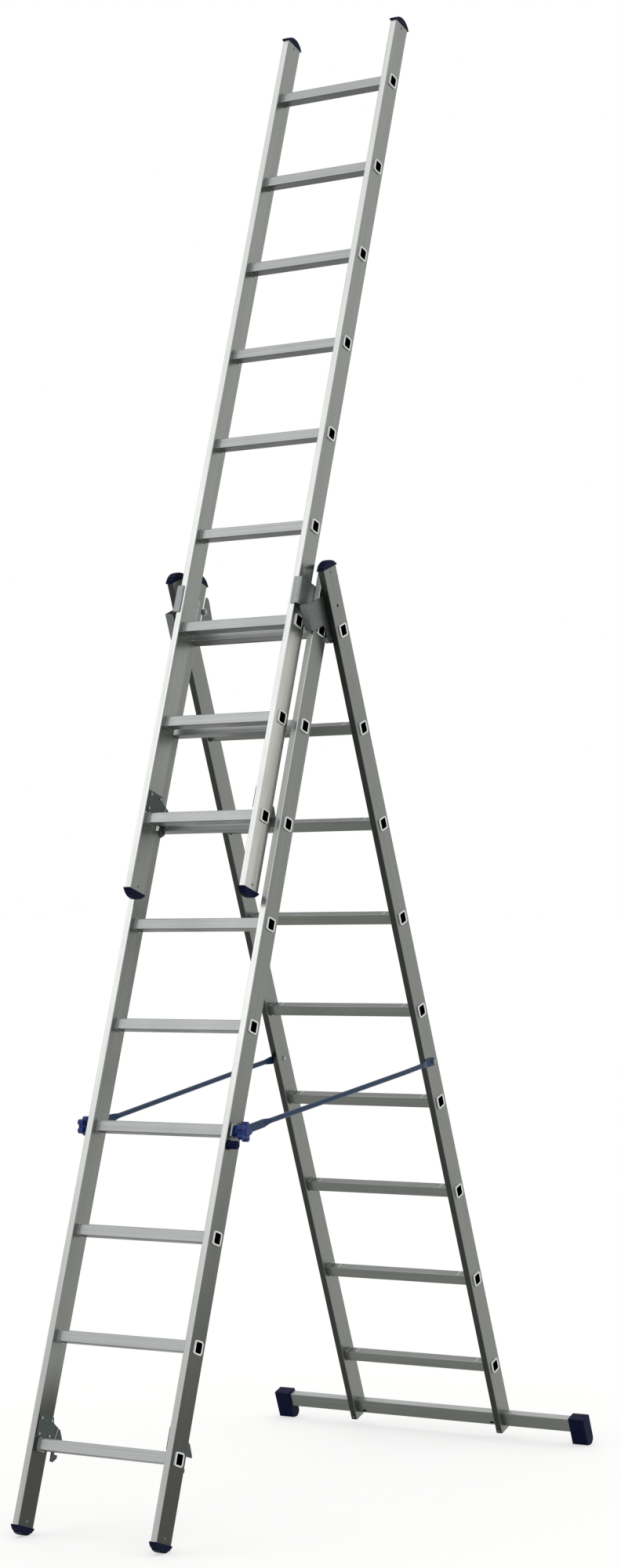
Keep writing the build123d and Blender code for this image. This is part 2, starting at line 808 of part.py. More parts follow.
def strut_section(distance, across, side):
    """A plane square to the strut at a distance from its rear pivot."""
    origin = strut_pivot + strut_way * distance + across_dir * (side * across)
    return Plane(origin=origin, x_dir=across_dir, z_dir=strut_way)


for word, side in sides.items():
    eye_plane = Plane(
        origin=strut_pivot + across_dir * (side * strut_eye), x_dir=strut_way, z_dir=across_dir * side
    )
    hook_plane = Plane(
        origin=strut_pivot + across_dir * (side * (flat_middle - strut_flat)),
        x_dir=strut_way,
        z_dir=across_dir * side,
    )
    with BuildPart() as strut:
        with BuildSketch(strut_section(tube_start, tube_middle, side)):
            Circle(strut_diameter / 2)
        extrude(amount=strut_straight - tube_start)
        with BuildSketch(strut_section(strut_straight, tube_middle, side)):
            Circle(strut_diameter / 2)
        with BuildSketch(strut_section(tube_end, flat_middle, side)):
            Circle(strut_diameter / 2)
        loft()
        with BuildSketch(eye_plane):
            with Locations((strut_eye_length / 2, 0)):
                Rectangle(strut_eye_length, strut_flat_width)
            Circle(flat_half)
        extrude(amount=strut_flat)
        with BuildSketch(strut_section(strut_eye_length, eye_middle, side)):
            Rectangle(strut_flat, strut_flat_width)
        with BuildSketch(strut_section(tube_start, tube_middle, side)):
            Circle(strut_diameter / 2)
        loft()
        with BuildSketch(strut_section(tube_end, flat_middle, side)):
            Circle(strut_diameter / 2)
        with BuildSketch(strut_section(flat_start, flat_middle, side)):
            Rectangle(strut_flat, strut_flat_width)
        loft()
        with BuildSketch(strut_section(flat_start, flat_middle, side)):
            Rectangle(strut_flat, strut_flat_width)
        extrude(amount=strut_flat_length + strut_tip)
        notch = stud_radius + stud_play
        with BuildSketch(hook_plane):
            with Locations((strut_length, 0)):
                Circle(notch)
            with BuildLine():
                Polyline(
                    (strut_length + notch, 0),
                    (strut_length + notch, side * (flat_half + 1)),
                    (strut_length - 38, side * (flat_half + 1)),
                    (strut_length - notch * 0.45, side * -notch * 0.9),
                    close=True,
                )
            make_face()
        extrude(amount=2 * strut_flat, mode=Mode.SUBTRACT)
        with BuildSketch(eye_plane):
            Circle(bolt_radius + running_clearance)
        extrude(amount=strut_flat, mode=Mode.SUBTRACT)
    keep(strut.part, f"strut_{word}")
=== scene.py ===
"""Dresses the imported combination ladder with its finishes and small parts, and sets up a stage.

The small parts are tread ribs, rung beads, punch marks, rivets, springs, ribs and stop plates.
"""

import json
import math

import bmesh
import bpy
from mathutils import Matrix, Vector


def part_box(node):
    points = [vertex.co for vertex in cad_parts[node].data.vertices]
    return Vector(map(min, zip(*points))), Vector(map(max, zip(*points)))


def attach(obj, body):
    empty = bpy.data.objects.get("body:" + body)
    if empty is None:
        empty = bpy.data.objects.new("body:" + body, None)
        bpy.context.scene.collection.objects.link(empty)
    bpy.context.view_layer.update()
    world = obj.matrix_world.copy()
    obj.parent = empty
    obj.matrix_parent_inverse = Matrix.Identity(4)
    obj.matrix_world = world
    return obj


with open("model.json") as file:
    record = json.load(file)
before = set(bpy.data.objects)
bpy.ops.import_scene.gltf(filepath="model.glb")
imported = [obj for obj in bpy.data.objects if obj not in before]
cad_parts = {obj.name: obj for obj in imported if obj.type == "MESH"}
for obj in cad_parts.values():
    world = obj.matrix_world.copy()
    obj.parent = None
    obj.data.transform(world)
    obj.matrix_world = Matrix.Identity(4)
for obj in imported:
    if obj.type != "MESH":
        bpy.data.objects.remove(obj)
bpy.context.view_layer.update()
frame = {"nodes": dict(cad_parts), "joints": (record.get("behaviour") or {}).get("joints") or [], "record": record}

bl_info = {
    "name": "Combination Ladder Dressing",
    "version": (1, 0, 0),
    "blender": (4, 5, 0),
    "location": "3D View > Sidebar > Ladder",
    "description": "Adds finishes and small parts to a three-section combination ladder",
    "category": "Object",
}

MM = 0.001
SIDES = (-1, 1)
ACROSS = Vector((1, 0, 0))
SLIDE_AXIS = Vector(next(j["axis"] for j in frame["joints"] if j["name"] == "fly_slide"))
LEAN = math.atan2(SLIDE_AXIS.y, SLIDE_AXIS.z)

# Heights in metres, going down, at which a painted tint starts and is full: the fly's painted reflection, the
# middle stiles' painted shade near the ground, and that shade on their inner faces
REFLECTION_RANGE = (2.42, 2.22)
LOW_SHADE_RANGE = (1.35, 0.05)
INNER_LOW_SHADE_RANGE = (0.44, 0.28)

# Cosines of the slants at which each tint by direction, all of them painted light, starts and is full
SLANTED, SQUARE_ON = 0.35, 0.9

# Heights in metres from the fifth rung: the cap rivets, then the stile ends that have ribbed caps
# and the way each of these caps points
CAP_RIVETS = {"fly": (1.295, -1.312), "middle": (1.280, -1.315), "rear": (1.285,)}
RIBBED_CAPS = {"fly": ((1.307, 1), (-1.325, -1)), "middle": ((1.292, 1),), "rear": ((1.297, 1),)}

# Places in millimetres through and up from the middle of a rung
HOOK_RIB_LOW, HOOK_RIB_HIGH = (46, 18), (54, 51)
STOP_PLATE_CORNERS = ((4.5, 36), (68, 36), (73, 97), (64, 108))

# The part of the floor's paleness that comes from its glow, and its reach in metres
FLOOR_GLOW, FLOOR_REACH = 0.5, 60.0

# The soft lamp, in metres and watts
LAMP_PLACE, LAMP_AIM = Vector((-4.2, -5.6, 6.5)), Vector((0, 0, 2.0))
LAMP_SIZE, LAMP_POWER = 4.0, 20.0

# The camera: its place in metres, its angles in degrees, its focal length and frame height in
# pixels, and its sensor's height in millimetres
CAMERA_PLACE = (4.64071, -7.00184, 1.71699)
CAMERA_YAW, CAMERA_PITCH, CAMERA_ROLL = 32.5842, 1.3562, -1.2436
FOCAL_PIXELS, FRAME_HEIGHT, SENSOR_HEIGHT = 3880.04, 2000.0, 36.0


def linear(code):
    """An sRGB hex colour as linear red, green and blue."""
    channels = [int(code[i : i + 2], 16) / 255 for i in (1, 3, 5)]
    return tuple(c / 12.92 if c <= 0.04045 else ((c + 0.055) / 1.055) ** 2.4 for c in channels)


class Section:
    """One ladder section: its rungs, its stiles, and the directions through and up it."""

    def __init__(self, name, turn):
        self.turn = turn
        self.up = Vector((0, -math.sin(turn), math.cos(turn)))
        self.back = Vector((0, math.cos(turn), math.sin(turn)))
        low, high = (Vector(corner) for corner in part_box(f"{name}_rungs"))
        self.middle = (low + high) / 2
        stile_low, stile_high = (Vector(corner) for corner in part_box(f"{name}_stile_right"))
        self.inner = stile_low.x
        self.outer = stile_high.x

    def at(self, across, depth, up):
        """A point from distances across, through and up from the middle of the fifth rung."""
        return self.middle + ACROSS * across + self.back * depth + self.up * up


SECTIONS = {
    "fly": Section("fly", -LEAN),
    "middle": Section("middle", -LEAN),
    "rear": Section("rear", LEAN),
}


class LadderSizes(bpy.types.PropertyGroup):
    """Sizes of the small parts."""

    rung_pitch: bpy.props.FloatProperty(
        name="Rung pitch", description="Distance from rung to rung", default=280 * MM, unit="LENGTH"
    )
    rung_size: bpy.props.FloatProperty(
        name="Rung size", description="Side of the square rung", default=30 * MM, unit="LENGTH"
    )
    rung_bore: bpy.props.FloatProperty(
        name="Rung bore", description="Half the width of a rung's hollow",
        default=13.6 * MM, unit="LENGTH",
    )
    rung_count: bpy.props.IntProperty(
        name="Rungs", description="Rungs in each section", default=9
    )
    tread_count: bpy.props.IntProperty(
        name="Tread ribs", description="Ribs along the top of a rung", default=6
    )
    tread_pitch: bpy.props.FloatProperty(
        name="Tread pitch", description="Distance between tread ribs", default=4 * MM, unit="LENGTH"
    )
    tread_width: bpy.props.FloatProperty(
        name="Tread width", description="Width of a tread rib", default=1.6 * MM, unit="LENGTH"
    )
    tread_height: bpy.props.FloatProperty(
        name="Tread height", description="Height of a tread rib", default=0.6 * MM, unit="LENGTH"
    )
    tread_margin: bpy.props.FloatProperty(
        name="Tread margin", description="Bare rung between a tread rib and the stile",
        default=4 * MM, unit="LENGTH",
    )
    hook_room: bpy.props.FloatProperty(
        name="Hook room", description="Bare rung on each side of a hook plate",
        default=1 * MM, unit="LENGTH",
    )
    bead_side: bpy.props.FloatProperty(
        name="Bead side", description="Side of the bead round a rung's end",
        default=32 * MM, unit="LENGTH",
    )
    bead_corner: bpy.props.FloatProperty(
        name="Bead corner", description="Corner radius of that bead", default=6 * MM, unit="LENGTH"
    )
    bead_radius: bpy.props.FloatProperty(
        name="Bead radius", description="Radius of that bead's round",
        default=2.6 * MM, unit="LENGTH",
    )
    bead_sink: bpy.props.FloatProperty(
        name="Bead sink", description="How far that bead's middle lies inside the rung's end",
        default=0.6 * MM, unit="LENGTH",
    )
    hook_plate: bpy.props.FloatProperty(
        name="Hook plate", description="Thickness of a hook plate", default=3 * MM, unit="LENGTH"
    )
    hook_rib_height: bpy.props.FloatProperty(
        name="Hook rib height", description="Height of a hook's pressed rib",
        default=1.4 * MM, unit="LENGTH",
    )
    hook_rib_width: bpy.props.FloatProperty(
        name="Hook rib width", description="Width of a hook's pressed rib",
        default=3 * MM, unit="LENGTH",
    )
    stop_plate: bpy.props.FloatProperty(
        name="Stop plate", description="Thickness of a stop plate", default=2.5 * MM, unit="LENGTH"
    )
    stop_plate_step: bpy.props.FloatProperty(
        name="Stop plate step", description="Step inwards from a middle stile to a stop plate",
        default=1 * MM, unit="LENGTH",
    )
    stop_plate_corner: bpy.props.FloatProperty(
        name="Stop plate corner", description="Round of a stop plate's corners",
        default=6 * MM, unit="LENGTH",
    )
    stop_plate_edge: bpy.props.FloatProperty(
        name="Stop plate edge", description="Easing of a stop plate's edges",
        default=0.4 * MM, unit="LENGTH",
    )
    rivet_radius: bpy.props.FloatProperty(
        name="Rivet radius", description="Radius of a cap rivet's head",
        default=4.2 * MM, unit="LENGTH",
    )
    rivet_rise: bpy.props.FloatProperty(
        name="Rivet rise", description="Height of a rivet's head as a share of its radius",
        default=0.35, min=0.0, max=1.0, subtype="FACTOR",
    )
    dimple_radius: bpy.props.FloatProperty(
        name="Dimple radius", description="Radius of a rung's punch mark",
        default=2.4 * MM, unit="LENGTH",
    )
    dimple_rise: bpy.props.FloatProperty(
        name="Dimple rise", description="Height of a punch mark as a share of its radius",
        default=0.12, min=0.0, max=1.0, subtype="FACTOR",
    )
    dimple_inset: bpy.props.FloatProperty(
        name="Dimple inset", description="Distance of a punch mark from the stile",
        default=28 * MM, unit="LENGTH",
    )
    spring_wire: bpy.props.FloatProperty(
        name="Spring wire", description="Radius of the latch spring's wire",
        default=0.5 * MM, unit="LENGTH",
    )
    spring_radius: bpy.props.FloatProperty(
        name="Spring radius", description="Radius of the latch spring's coil",
        default=4.4 * MM, unit="LENGTH",
    )
    spring_turns: bpy.props.FloatProperty(
        name="Spring turns", description="Turns of the latch spring", default=2.5
    )
    spring_length: bpy.props.FloatProperty(
        name="Spring length", description="Length of the latch spring",
        default=3 * MM, unit="LENGTH",
    )
    spring_inset: bpy.props.FloatProperty(
        name="Spring inset", description="Distance of the latch spring from the stile",
        default=6.9 * MM, unit="LENGTH",
    )
    cap_half: bpy.props.FloatProperty(
        name="Cap half", description="Half the depth of a cap's arch",
        default=37.5 * MM, unit="LENGTH",
    )
    cap_rise: bpy.props.FloatProperty(
        name="Cap rise", description="Height of a cap's arch", default=20 * MM, unit="LENGTH"
    )
    cap_rib_length: bpy.props.FloatProperty(
        name="Cap rib length", description="Length of a cap's raised rib",
        default=19 * MM, unit="LENGTH",
    )
    cap_rib_thickness: bpy.props.FloatProperty(
        name="Cap rib thickness", description="Thickness of a cap's raised rib, half of it sunk",
        default=1.6 * MM, unit="LENGTH",
    )
    cap_rib_width: bpy.props.FloatProperty(
        name="Cap rib width", description="Width of a cap's raised rib",
        default=2.2 * MM, unit="LENGTH",
    )
    cap_rib_count: bpy.props.IntProperty(
        name="Cap ribs", description="Raised ribs on each arched cap", default=7
    )


class LadderColours(bpy.types.PropertyGroup):
    """Colours of the finishes."""

    aluminium: bpy.props.FloatVectorProperty(
        name="Aluminium", description="Mill-finish aluminium",
        subtype="COLOR", default=linear("#DADCDA"),
    )
    rung: bpy.props.FloatVectorProperty(
        name="Rung", description="Drawn aluminium tube", subtype="COLOR", default=linear("#B0B3B2")
    )
    bead: bpy.props.FloatVectorProperty(
        name="Bead", description="Rolled aluminium bead", subtype="COLOR", default=linear("#D8DAD9")
    )
    zinc: bpy.props.FloatVectorProperty(
        name="Zinc", description="Zinc-plated steel", subtype="COLOR", default=linear("#6C716F")
    )
    bright_zinc: bpy.props.FloatVectorProperty(
        name="Bright zinc", description="Bright zinc of guides, ears and bolts",
        subtype="COLOR", default=linear("#9A9FA0"),
    )
    dark_zinc: bpy.props.FloatVectorProperty(
        name="Dark zinc", description="Passivated zinc of the hooks",
        subtype="COLOR", default=linear("#48504D"),
    )
    cap_blue: bpy.props.FloatVectorProperty(
        name="Cap blue", description="Moulded caps and feet",
        subtype="COLOR", default=linear("#080F2E"),
    )
    knob_blue: bpy.props.FloatVectorProperty(
        name="Knob blue", description="Moulded knobs", subtype="COLOR", default=linear("#15296A")
    )
    strut_blue: bpy.props.FloatVectorProperty(
        name="Strut blue", description="Painted struts", subtype="COLOR", default=linear("#153150")
    )
    # Painted shade: a rear stile's front looks down, so its colour is darkened there
    stile_forward_shade: bpy.props.FloatVectorProperty(
        name="Sheltered stile", description="Tint of a rear stile's front, which looks down",
        subtype="COLOR", default=linear("#40423F"),
    )
    # Painted shade: a rear rung's front looks down, so its colour is darkened there
    rung_forward_shade: bpy.props.FloatVectorProperty(
        name="Sheltered rung", description="Tint of a rear rung's front, which looks down",
        subtype="COLOR", default=linear("#A4A6A0"),
    )
    # Painted shade on the underside of every rung
    rung_underside_shade: bpy.props.FloatVectorProperty(
        name="Under rung", description="Tint of a rung's underside",
        subtype="COLOR", default=linear("#8C8D8A"),
    )
    # Painted shade on the fly stiles' wide faces
    fly_side_shade: bpy.props.FloatVectorProperty(
        name="Fly wide face", description="Tint of a fly stile's wide faces",
        subtype="COLOR", default=linear("#A4A6A2"),
    )
    # Painted reflection: the fly stile's outer face below the guide is made pale in place of the bright middle
    # stile mirrored in it
    pale: bpy.props.FloatVectorProperty(
        name="Pale face", description="Tint of a fly stile's outer face below the guide",
        subtype="COLOR", default=linear("#E2E1DB"),
    )
    # Painted shade on the middle and rear stiles' wide faces
    wide: bpy.props.FloatVectorProperty(
        name="Wide face", description="Tint of the other stiles' wide faces",
        subtype="COLOR", default=linear("#949692"),
    )
    # Painted shade near the ground on a middle stile's wide faces, darker towards the bottom
    low_side_shade: bpy.props.FloatVectorProperty(
        name="Wide film", description="Tint of the painted film on a middle stile's wide faces",
        subtype="COLOR", default=linear("#8E8E8C"),
    )
    # Painted shade near the ground on a middle stile's front, darker towards the bottom
    low_front_shade: bpy.props.FloatVectorProperty(
        name="Front film", description="Tint of the painted film on a middle stile's front",
        subtype="COLOR", default=linear("#CECECE"),
    )
    # Painted shade inside the hollow of each rung
    bore_shade: bpy.props.FloatVectorProperty(
        name="Bore", description="Tint of the dull inside of a rung",
        subtype="COLOR", default=linear("#303030"),
    )
    floor: bpy.props.FloatVectorProperty(
        name="Floor", description="Pale floor", subtype="COLOR", default=linear("#FAFAF8")
    )


def add(tree, kind, inputs=None, **settings):
    """Add one node with its settings; an input is a value, or an output socket to link."""
    made = tree.nodes.new(kind)
    for key, value in settings.items():
        setattr(made, key, value)
    for key, value in (inputs or {}).items():
        socket = made.inputs[key]
        if isinstance(value, bpy.types.NodeSocket):
            tree.links.new(value, socket)
        else:
            socket.default_value = value
    return made


def new_material(name):
    """An empty node material with its Principled shader."""
    material = bpy.data.materials.new(name)
    material.use_nodes = True
    return material, material.node_tree, material.node_tree.nodes["Principled BSDF"]


def rgba(colour, gain=1.0):
    """A colour with full alpha, made lighter or darker."""
    return (*(min(1.0, channel * gain) for channel in colour), 1.0)


def facing(tree, normal, direction):
    """How far a face looks in one direction, from 0 at a slant to 1 square on."""
    turned = add(tree, "ShaderNodeVectorMath", {0: normal, 1: direction}, operation="DOT_PRODUCT")
    share = add(
        tree,
        "ShaderNodeMapRange",
        {"Value": turned.outputs["Value"], "From Min": SLANTED, "From Max": SQUARE_ON},
    )
    return share.outputs["Result"]


def below(tree, place, factor, span):
    """A factor that comes in from the first to the second of two heights."""
    low = add(
        tree,
        "ShaderNodeMapRange",
        {"Value": place.outputs["Z"], "From Min": span[0], "From Max": span[1]},
        interpolation_type="SMOOTHSTEP",
    )
    share = add(tree, "ShaderNodeMath", {0: factor, 1: low.outputs["Result"]}, operation="MULTIPLY")
    return share.outputs["Value"]


def inside_rung(tree, turned, centre, pitch, room):
    """1 inside the hollow of any rung of a section, where painted shade goes, and 0 outside."""
    local = add(
        tree, "ShaderNodeVectorMath", {0: turned, 1: tuple(centre)}, operation="SUBTRACT"
    )
    parts = add(tree, "ShaderNodeSeparateXYZ", {"Vector": local.outputs["Vector"]})
    up = add(
        tree,
        "ShaderNodeMath",
        {0: parts.outputs["Z"], 1: pitch / 2, 2: -pitch / 2},
        operation="WRAP",
    )
    high = add(tree, "ShaderNodeMath", {0: up.outputs["Value"]}, operation="ABSOLUTE")
    deep = add(tree, "ShaderNodeMath", {0: parts.outputs["Y"]}, operation="ABSOLUTE")
    far = add(
        tree,
        "ShaderNodeMath",
        {0: high.outputs["Value"], 1: deep.outputs["Value"]},
        operation="MAXIMUM",
    )
    bore_shade = add(tree, "ShaderNodeMath", {0: far.outputs["Value"], 1: room}, operation="LESS_THAN")
    return bore_shade.outputs["Value"]


def drawn_aluminium(
    name, colour, turn, along, roughness,
    forward_shade=None, under=None, wide=None, pale=None, shade=None, bore_shade=None,
):
    """Extruded aluminium: the die leaves long fine streaks and handling leaves soft cloudy patches.

    Along is the way the die lines run. The tints are all painted light. forward_shade is painted shade on the face
    that looks forward, under painted shade on the one that looks down, and wide painted shade on a stile's wide
    faces. Pale is a painted reflection that replaces wide on the outer faces below the guide. Shade is two tints
    of painted shade near the ground, darker towards the bottom, of the wide faces and of the front. bore_shade is
    a rung's middle, its pitch, half its hollow, and the tint of the painted shade inside it.
    """
    material, tree, shader = new_material(name)
    coords = add(tree, "ShaderNodeTexCoord")
    turned = add(
        tree, "ShaderNodeMapping", {"Vector": coords.outputs["Object"], "Rotation": (-turn, 0, 0)}
    )
    # Die lines are under 1 mm apart; they are drawn about 4 mm apart so that they show
    fine, coarse = 250.0, 1.6
    stretch = (coarse, fine, fine) if along == "X" else (fine, fine, coarse)
    streak_place = add(
        tree, "ShaderNodeMapping", {"Vector": turned.outputs["Vector"], "Scale": stretch}
    )
    streaks = add(
        tree,
        "ShaderNodeTexNoise",
        {"Vector": streak_place.outputs["Vector"], "Scale": 1.0, "Detail": 3.0, "Roughness": 0.6},
    )
    # Handling marks about 120 mm across
    cloud = add(
        tree,
        "ShaderNodeTexNoise",
        {"Vector": turned.outputs["Vector"], "Scale": 8.0, "Detail": 4.0, "Roughness": 0.55},
    )
    ramp = add(tree, "ShaderNodeValToRGB", {"Fac": streaks.outputs["Fac"]})
    ramp.color_ramp.elements[0].position = 0.3
    ramp.color_ramp.elements[0].color = rgba(colour, 0.86)
    ramp.color_ramp.elements[1].position = 0.7
    ramp.color_ramp.elements[1].color = rgba(colour, 1.05)
    gloss = add(
        tree,
        "ShaderNodeMapRange",
        {"Value": cloud.outputs["Fac"], "From Min": 0.3, "From Max": 0.7,
         "To Min": roughness - 0.06, "To Max": roughness + 0.10},
    )
    bump = add(
        tree,
        "ShaderNodeBump",
        {"Height": streaks.outputs["Fac"], "Strength": 0.06, "Distance": 0.4 * MM},
    )
    normal = coords.outputs["Normal"]
    front = (0, -math.cos(turn), -math.sin(turn))
    down = (0, math.sin(turn), -math.cos(turn))
    # Each tint is painted shade and multiplies the skin where its share says so
    tints = []
    # Painted shade on a stile's wide faces
    if wide:
        tints += [(facing(tree, normal, (side, 0, 0)), wide) for side in SIDES]
    if pale or shade:
        place = add(tree, "ShaderNodeSeparateXYZ", {"Vector": coords.outputs["Object"]})
        sign = add(tree, "ShaderNodeMath", {0: place.outputs["X"]}, operation="SIGN")
        outward = add(tree, "ShaderNodeCombineXYZ", {"X": sign.outputs["Value"]}).outputs["Vector"]
    # Painted shade near the ground, darker towards the bottom, on the outer, inner and front faces
    if shade:
        low_side_shade, low_front_shade = shade
        inward = add(
            tree, "ShaderNodeVectorMath", {0: outward, 1: (-1, -1, -1)}, operation="MULTIPLY"
        ).outputs["Vector"]
        tints += [
            (below(tree, place, facing(tree, normal, outward), LOW_SHADE_RANGE), low_side_shade),
            (below(tree, place, facing(tree, normal, inward), INNER_LOW_SHADE_RANGE), low_side_shade),
            (below(tree, place, facing(tree, normal, front), LOW_SHADE_RANGE), low_front_shade),
        ]
    # Painted shade on the face that looks forward
    if forward_shade:
        tints.append((facing(tree, normal, front), forward_shade))
    # Painted shade on the face that looks down
    if under:
        tints.append((facing(tree, normal, down), under))
    # Painted shade inside a rung's hollow
    if bore_shade:
        *hollow, dull = bore_shade
        tints.append((inside_rung(tree, turned.outputs["Vector"], *hollow), dull))
    skin = ramp.outputs["Color"]
    for share, tint in tints:
        mixed = add(
            tree,
            "ShaderNodeMix",
            {"Factor": share, "A": skin, "B": rgba(tint)},
            data_type="RGBA",
            blend_type="MULTIPLY",
        )
        skin = mixed.outputs["Result"]
    # Painted reflection: the outer face below the guide is made pale in place of its wide-face shade
    if pale:
        reflection_skin = add(
            tree,
            "ShaderNodeMix",
            {"Factor": 1.0, "A": ramp.outputs["Color"], "B": rgba(pale)},
            data_type="RGBA",
            blend_type="MULTIPLY",
        )
        share = below(tree, place, facing(tree, normal, outward), REFLECTION_RANGE)
        painted_reflection = add(
            tree,
            "ShaderNodeMix",
            {"Factor": share, "A": skin, "B": reflection_skin.outputs["Result"]},
            data_type="RGBA",
        )
        skin = painted_reflection.outputs["Result"]
    tree.links.new(skin, shader.inputs["Base Color"])
    tree.links.new(gloss.outputs["Result"], shader.inputs["Roughness"])
    tree.links.new(bump.outputs["Normal"], shader.inputs["Normal"])
    shader.inputs["Metallic"].default_value = 0.92
    return material


def zinc_plate(name, colour):
    """Zinc-plated pressed steel: a dull grey-green metal, mottled by the plating bath."""
    material, tree, shader = new_material(name)
    coords = add(tree, "ShaderNodeTexCoord")
    # Plating mottles about 6 mm across
    mottle = add(
        tree,
        "ShaderNodeTexNoise",
        {"Vector": coords.outputs["Object"], "Scale": 170.0, "Detail": 5.0, "Roughness": 0.65},
    )
    ramp = add(tree, "ShaderNodeValToRGB", {"Fac": mottle.outputs["Fac"]})
    ramp.color_ramp.elements[0].position = 0.32
    ramp.color_ramp.elements[0].color = rgba(colour, 0.72)
    ramp.color_ramp.elements[1].position = 0.70
    ramp.color_ramp.elements[1].color = rgba(colour, 1.12)
    gloss = add(
        tree,
        "ShaderNodeMapRange",
        {"Value": mottle.outputs["Fac"], "From Min": 0.3, "From Max": 0.7,
         "To Min": 0.30, "To Max": 0.48},
    )
    bump = add(
        tree,
        "ShaderNodeBump",
        {"Height": mottle.outputs["Fac"], "Strength": 0.1, "Distance": 0.3 * MM},
    )
    tree.links.new(ramp.outputs["Color"], shader.inputs["Base Color"])
    tree.links.new(gloss.outputs["Result"], shader.inputs["Roughness"])
    tree.links.new(bump.outputs["Normal"], shader.inputs["Normal"])
    shader.inputs["Metallic"].default_value = 0.9
    return material


def moulded_plastic(name, colour, roughness, shine):
    """Moulded polypropylene: a satin skin with a fine spark-eroded grain and pale scuffs."""
    material, tree, shader = new_material(name)
    coords = add(tree, "ShaderNodeTexCoord")
    # Mould grain about 0.8 mm across
    grain = add(
        tree,
        "ShaderNodeTexNoise",
        {"Vector": coords.outputs["Object"], "Scale": 1200.0, "Detail": 2.0, "Roughness": 0.5},
    )
    # Scuffs about 15 mm across
    scuff = add(
        tree,
        "ShaderNodeTexNoise",
        {"Vector": coords.outputs["Object"], "Scale": 65.0, "Detail": 6.0, "Roughness": 0.7},
    )
    ramp = add(tree, "ShaderNodeValToRGB", {"Fac": scuff.outputs["Fac"]})
    ramp.color_ramp.elements[0].position = 0.35
    ramp.color_ramp.elements[0].color = rgba(colour, 0.8)
    ramp.color_ramp.elements[1].position = 0.75
    ramp.color_ramp.elements[1].color = rgba(colour, 1.35)
    gloss = add(
        tree,
        "ShaderNodeMapRange",
        {"Value": scuff.outputs["Fac"], "From Min": 0.3, "From Max": 0.8,
         "To Min": roughness, "To Max": roughness + 0.18},
    )
    bump = add(
        tree,
        "ShaderNodeBump",
        {"Height": grain.outputs["Fac"], "Strength": 0.12, "Distance": 0.2 * MM},
    )
    tree.links.new(ramp.outputs["Color"], shader.inputs["Base Color"])
    tree.links.new(gloss.outputs["Result"], shader.inputs["Roughness"])
    tree.links.new(bump.outputs["Normal"], shader.inputs["Normal"])
    shader.inputs["IOR"].default_value = 1.49
    shader.inputs["Specular IOR Level"].default_value = shine
    return material


def powder_paint(name, colour):
    """Powder-coated steel tube: glossy paint with a slight orange peel and a few worn spots."""
    material, tree, shader = new_material(name)
    coords = add(tree, "ShaderNodeTexCoord")
    # Orange peel about 2.5 mm across
    peel = add(
        tree,
        "ShaderNodeTexNoise",
        {"Vector": coords.outputs["Object"], "Scale": 400.0, "Detail": 2.0, "Roughness": 0.5},
    )
    # Worn spots about 25 mm apart
    wear = add(
        tree,
        "ShaderNodeTexNoise",
        {"Vector": coords.outputs["Object"], "Scale": 40.0, "Detail": 6.0, "Roughness": 0.75},
    )
    ramp = add(tree, "ShaderNodeValToRGB", {"Fac": wear.outputs["Fac"]})
    ramp.color_ramp.elements[0].position = 0.3
    ramp.color_ramp.elements[0].color = rgba(colour, 0.82)
    ramp.color_ramp.elements[1].position = 0.72
    ramp.color_ramp.elements[1].color = rgba(colour, 1.2)
    gloss = add(
        tree,
        "ShaderNodeMapRange",
        {"Value": wear.outputs["Fac"], "From Min": 0.3, "From Max": 0.75,
         "To Min": 0.28, "To Max": 0.44},
    )
    bump = add(
        tree,
        "ShaderNodeBump",
        {"Height": peel.outputs["Fac"], "Strength": 0.08, "Distance": 0.2 * MM},
    )
    tree.links.new(ramp.outputs["Color"], shader.inputs["Base Color"])
    tree.links.new(gloss.outputs["Result"], shader.inputs["Roughness"])
    tree.links.new(bump.outputs["Normal"], shader.inputs["Normal"])
    shader.inputs["IOR"].default_value = 1.5
    shader.inputs["Specular IOR Level"].default_value = 0.2
    return material


def paint(mesh, material):
    """Give a mesh one material, and no empty slot beside it."""
    mesh.materials.clear()
    mesh.materials.append(material)


def new_tree(name, inputs):
    """A geometry tree with a point input, named size inputs and a finish input."""
    tree = bpy.data.node_groups.new(name, "GeometryNodeTree")
    tree.interface.new_socket("Geometry", in_out="INPUT", socket_type="NodeSocketGeometry")
    for label, kind in inputs.items():
        tree.interface.new_socket(label, in_out="INPUT", socket_type=f"NodeSocket{kind}")
    tree.interface.new_socket("Finish", in_out="INPUT", socket_type="NodeSocketMaterial")
    tree.interface.new_socket("Geometry", in_out="OUTPUT", socket_type="NodeSocketGeometry")
    return tree, add(tree, "NodeGroupInput"), add(tree, "NodeGroupOutput")


def close_tree(tree, source, sink, instances):
    """Realize a tree's instances and give them the finish."""
    real = add(tree, "GeometryNodeRealizeInstances", {"Geometry": instances})
    finish = add(
        tree,
        "GeometryNodeSetMaterial",
        {"Geometry": real.outputs["Geometry"], "Material": source.outputs["Finish"]},
    )
    tree.links.new(finish.outputs["Geometry"], sink.inputs["Geometry"])
    return tree


